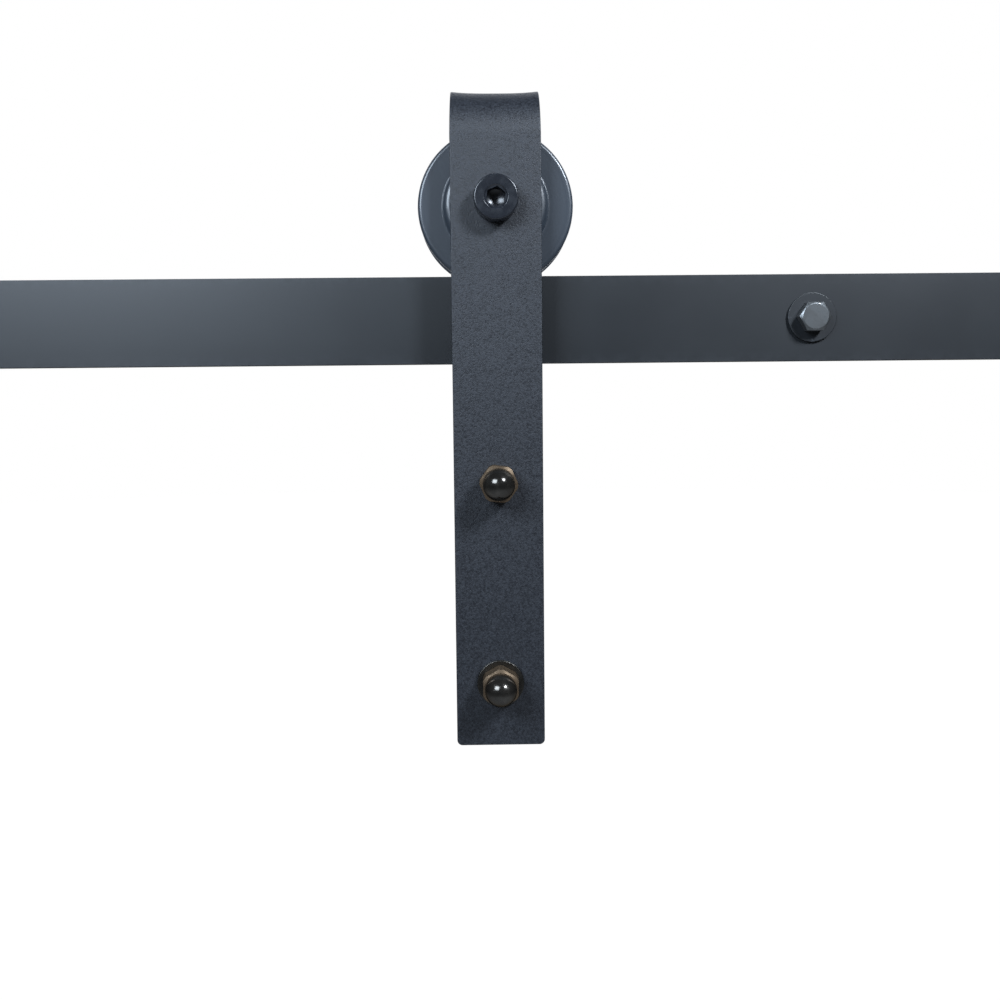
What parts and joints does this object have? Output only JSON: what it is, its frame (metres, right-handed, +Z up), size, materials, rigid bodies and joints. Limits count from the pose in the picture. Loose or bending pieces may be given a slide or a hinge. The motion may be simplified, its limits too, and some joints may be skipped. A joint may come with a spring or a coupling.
{
  "type": "sliding barn door hardware",
  "caption": "Sliding barn door hanger: a J-bent flat strap with a grooved roller that runs on a flat-bar track, with wall standoffs, end stops and door bolts.",
  "frame": {"origin": "on the wall plane and the track's centre line, midway between the two wall bolts", "axes": "+X along the track, +Y into the wall, +Z up; the hanger's front faces -Y"},
  "size_m": [0.686, 0.1309, 0.297],
  "materials": {
    "strap_coat": "fine sand-textured charcoal powder coat",
    "track_coat": "smooth satin charcoal powder coat",
    "wheel_coat": "smooth satin charcoal powder coat on turned steel",
    "black_oxide": "oiled black oxide, semi-gloss",
    "black_nickel": "glossy black nickel plate",
    "dull_zinc": "dull grey zinc plate",
    "bearing_steel": "ground bearing steel",
    "black_rubber": "matt moulded rubber"
  },
  "bodies": {
    "track": {"track_rail": "track_coat", "wall_spacer_left": "track_coat", "wall_spacer_right": "track_coat", "track_washer_left": "track_coat", "track_washer_right": "track_coat", "lag_bolt_left": "dull_zinc", "lag_bolt_right": "dull_zinc", "end_stop_left": "track_coat", "end_stop_right": "track_coat", "bumper_left": "black_rubber", "bumper_right": "black_rubber", "stop_set_screw_left_1": "black_oxide", "stop_set_screw_left_2": "black_oxide", "stop_set_screw_right_1": "black_oxide", "stop_set_screw_right_2": "black_oxide"},
    "axle": {"axle_bolt": "black_oxide", "axle_bush_front": "dull_zinc", "axle_bush_rear": "dull_zinc", "bearing_inner_ring": "bearing_steel", "axle_washer": "dull_zinc", "axle_lock_nut": "dull_zinc"},
    "wheel": {"wheel": "wheel_coat", "bearing_outer_ring": "bearing_steel", "bearing_shield_front": "bearing_steel", "bearing_shield_rear": "bearing_steel", "bearing_circlip": "black_oxide"},
    "ball_cage": {"bearing_cage": "bearing_steel", "bearing_ball_1": "bearing_steel", "bearing_ball_2": "bearing_steel", "bearing_ball_3": "bearing_steel", "bearing_ball_4": "bearing_steel", "bearing_ball_5": "bearing_steel", "bearing_ball_6": "bearing_steel", "bearing_ball_7": "bearing_steel"},
    "hanger": {"hanger_strap": "strap_coat", "door_bolt_upper": "black_nickel", "door_bolt_lower": "black_nickel", "door_back_washer_upper": "black_nickel", "door_back_washer_lower": "black_nickel", "door_washer_lower": "black_nickel", "acorn_nut_upper": "black_nickel", "acorn_nut_lower": "black_nickel"}
  },
  "joints": [
    {"name": "track_slide", "type": "slide", "parent": "track", "child": "axle", "axis": [1, 0, 0], "range_m": [-0.3241, 0.2101]},
    {"name": "wheel_spin", "type": "hinge", "parent": "axle", "child": "wheel", "pos_m": [0.057, -0.0413, 0.0505], "axis": [0, 1, 0], "continuous": true},
    {"name": "cage_spin", "type": "hinge", "parent": "axle", "child": "ball_cage", "pos_m": [0.057, -0.0413, 0.0505], "axis": [0, 1, 0], "continuous": true},
    {"name": "hanger_swing", "type": "hinge", "parent": "axle", "child": "hanger", "pos_m": [0.057, -0.0413, 0.0505], "axis": [0, 1, 0], "range_deg": [-45, 45]}
  ],
  "couplings": [
    {"joint": "wheel_spin", "follows": "track_slide", "rad_per_m": 32.787},
    {"joint": "cage_spin", "follows": "track_slide", "rad_per_m": 20.829}
  ]
}
